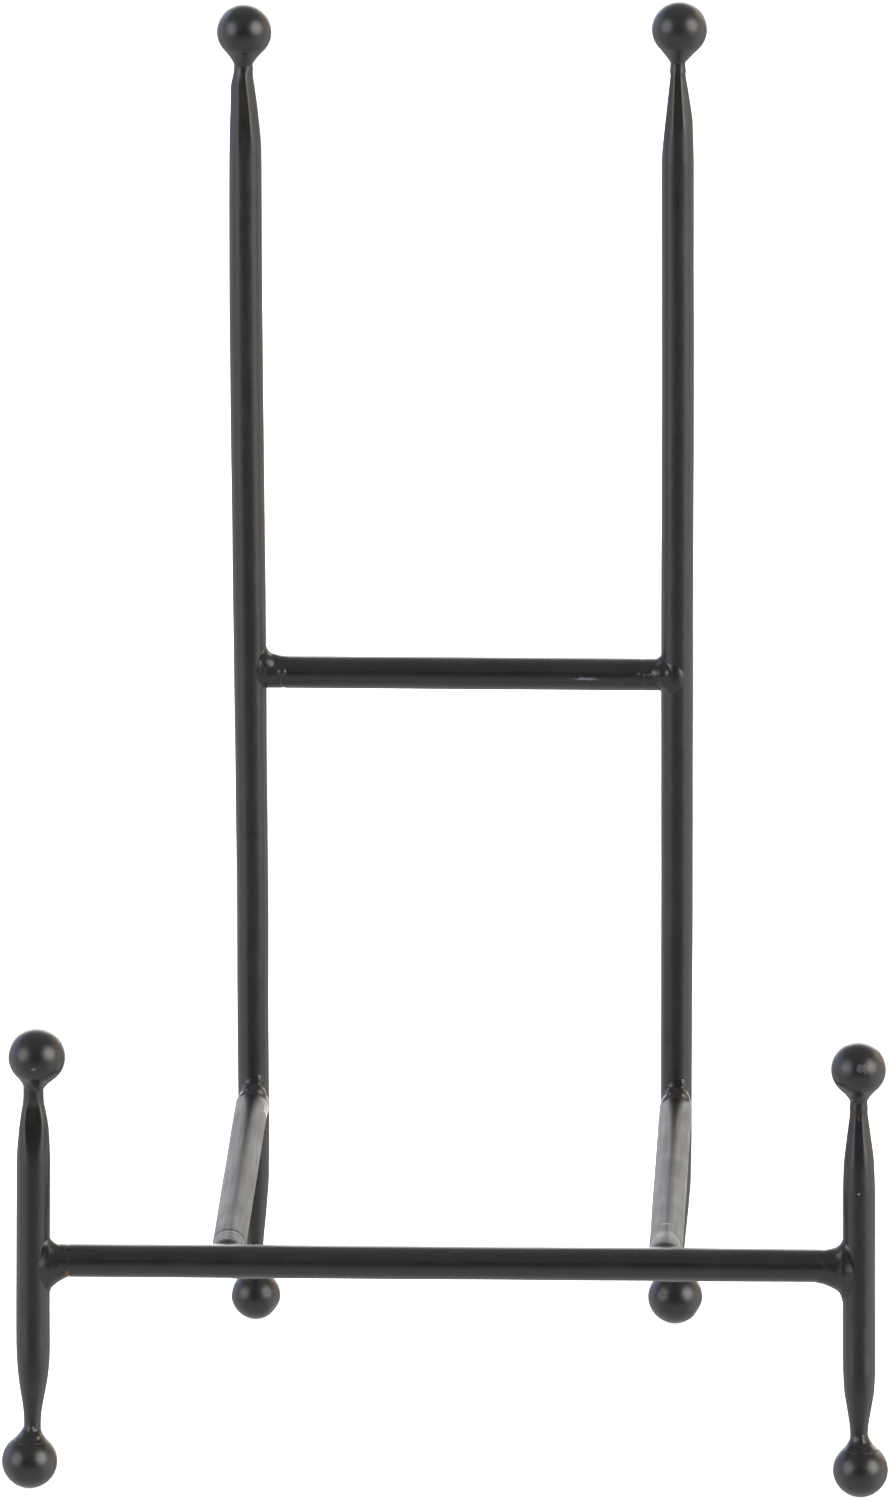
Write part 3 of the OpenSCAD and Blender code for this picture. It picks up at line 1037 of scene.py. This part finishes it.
# %% Bead
def bead(joint, bar_way, met_way, third, lumps, softness, reach, droplets=()):
    """Weld metal at a joint, as (points, blocks of faces).

    joint is on the met bar's axis. bar_way points away along the bar that ends there, met_way runs
    along the met bar, and third is the direction square to them that lumps count from. A lump is
    (along bar, along third, along met, width, height): it adds height * exp(-(distance / width)^4).
    softness is the corner's, in mm, below and above the joint, and no walk goes past reach."""
    radius = bar_radius + THICKER
    start = joint + START * radius * bar_way
    out = directions(BEAD_ROWS, BEAD_COLUMNS, bar_way, third)
    ways = np.vstack([out.reshape(-1, 3), -bar_way[None], bar_way[None]])
    spots = np.array([joint + u * bar_way + v * third + w * met_way for u, v, w, _, _ in lumps])
    widths = np.array([lump[3] for lump in lumps])
    heights = np.array([lump[4] for lump in lumps])
    low = np.zeros(len(ways))
    high = np.full(len(ways), reach)
    for _ in range(HALVINGS):
        middle = (low + high) / 2
        points = start + middle[:, None] * ways
        away = np.linalg.norm(points[:, None] - spots[None], axis=2) / widths
        swell = (heights * np.exp(-away ** 4)).sum(1)
        air = beyond_metal(points - joint, radius, bar_way, met_way, softness) - swell + SINK > 0
        high = np.where(air, middle, high)
        low = np.where(air, low, middle)
    points = start + low[:, None] * ways
    rings = points[:-2].reshape(BEAD_ROWS, BEAD_COLUMNS, 3)
    parts = [skin(rings, points[-2:])]
    for u, v, w, size in droplets:
        spot = joint + u * bar_way + v * third + w * met_way
        round_ways = directions(DROPLET_ROWS, DROPLET_COLUMNS, bar_way, third)
        parts.append(skin(spot + size * round_ways, spot + size * np.array([-bar_way, bar_way])))
    return join(parts)


print("each bead is", len(directions(BEAD_ROWS, BEAD_COLUMNS, RIGHT, UP).reshape(-1, 3)), "walks")

# %% Beads at the crossbars
BEAD_REACH = 13.0
# Bead: lumps, softness below and above the joint, droplets (along bar, third, met, radius)
CROSSBAR_BEADS = {
    "left_middle_bead": (
        [(4.2, 0, 0, 4.4, 0.2), (3.7, 2.4, 2.7, 1.7, 0.6), (7.4, 3.3, 0.6, 1.0, 0.55),
         (4.2, 0.6, 4.0, 2.4, 0.35), (7.0, 0.5, 3.5, 2.2, 0.25)],
        (0.8, 2.6), []),
    "right_middle_bead": (
        [(3.6, 0, 0, 4.0, 0.2), (3.7, 3.0, 0.8, 1.8, 0.7), (1.4, 3.1, -0.3, 2.9, 0.55),
         (3.4, 2.5, 2.2, 1.1, 0.35)],
        (0.7, 2.0), [(6.2, 3.45, 0.6, 0.6), (7.3, 3.45, 0.5, 0.55), (8.6, 3.4, 0.7, 0.5)]),
    "left_post_bead": (
        [(4.4, 0, 0, 4.4, 0.2), (3.6, 1.6, 3.6, 2.2, 0.35), (6.5, 1.5, 1.0, 2.2, 0.2),
         (7.2, 2.4, -2.0, 1.3, 0.25), (5.0, 1.5, -3.8, 2.4, 0.3)],
        (5.6, 2.6), []),
    "right_post_bead": (
        [(4.4, 0, 0, 4.4, 0.2), (4.6, 0.8, 3.4, 2.6, 0.35), (3.3, 1.6, 3.4, 1.8, 0.3),
         (6.4, 2.6, 0.8, 1.8, 0.2), (7.5, 0.8, -3.7, 3.0, 0.35)],
        (6.4, 2.8), []),
}
for node, (lumps, softness, droplets) in CROSSBAR_BEADS.items():
    side = node.split("_")[0]
    bar = f"{side}_post" if "post" in node else f"{side}_upright"
    crossbar = "front_crossbar" if "post" in node else "middle_crossbar"
    joint = axis_at(bar, (centre_of(crossbar)[2] - axis_at(bar, 0)[2]) / lean[2])
    joint = joint + UP * raised_at(crossbar, joint[0])
    shape = bead(joint, -SIDES[side] * RIGHT, lean, lean_front, lumps, softness, BEAD_REACH, droplets)
    place(node, shape, enamel_on_welds, "painted_weld")
    print(node, len(shape[0]), "points")


# %% Beads at the rails
# A rail's rear bead is a small pile of lumps. Its front bead is low and wears the rails' duller
# coat, so that it does not shine white between the rail and the crossbar.
REAR_REACH = 10.0
REAR_SOFTNESS = (2.4, 2.4)
FRONT_SOFTNESS = (0.9, 0.9)
RAIL_REAR = [
    (3.4, 0, 0, 4.4, 0.2), (3.6, 0.2, 3.6, 2.6, 0.3), (4.2, 1.4, 4.2, 1.1, 0.45),
    (3.9, -1.2, 4.3, 1.0, 0.35), (5.0, 0.5, 3.3, 1.0, 0.4), (3.6, 2.3, 3.2, 1.1, 0.4),
    (3.7, 1.6, 6.2, 0.9, 0.3), (4.6, -2.4, 2.6, 0.9, 0.3),
]
RAIL_FRONT = {
    "left": [
        (4.2, 0, 0, 4.4, 0.2), (4.6, 3.0, 0, 4.4, 0.2), (1.4, -3.6, 2.0, 3.0, 0.6),
        (1.4, -3.6, 6.0, 3.0, 0.6), (1.6, -3.4, 9.4, 2.4, 0.5)],
    "right": [
        (4.2, 0, 0, 4.4, 0.2), (4.6, 3.0, 0, 4.4, 0.2), (1.4, -3.6, 0.0, 3.0, 0.6),
        (1.4, -3.6, 4.0, 3.0, 0.6)],
}
for side in SIDES:
    bar = side + "_upright"
    rear_joint = axis_at(bar, (rail_height - axis_at(bar, 0)[2]) / lean[2])
    shape = bead(rear_joint, -BACK, lean, RIGHT, RAIL_REAR, REAR_SOFTNESS, REAR_REACH)
    place(side + "_rail_rear_bead", shape, enamel_on_welds, "painted_weld")
    x = centre_of(side + "_side_rail")[0]
    front_joint = np.array([x, front_axis[1], front_axis[2] + raised_at("front_crossbar", x)])
    shape = bead(front_joint, BACK, RIGHT, UP, RAIL_FRONT[side], FRONT_SOFTNESS, BEAD_REACH)
    place(side + "_rail_front_bead", shape, enamel_on_rails, "painted_weld")
    print(side, "rail beads at heights", rear_joint[2].round(1), "and", front_joint[2].round(1))


# %% [markdown]
# ## Sizes
#
# The last step has one helper, which turns a box into two plain lists.

# %% Sizes and finish
def corners(box):
    """A box as two plain lists."""
    return [list(corner) for corner in box]
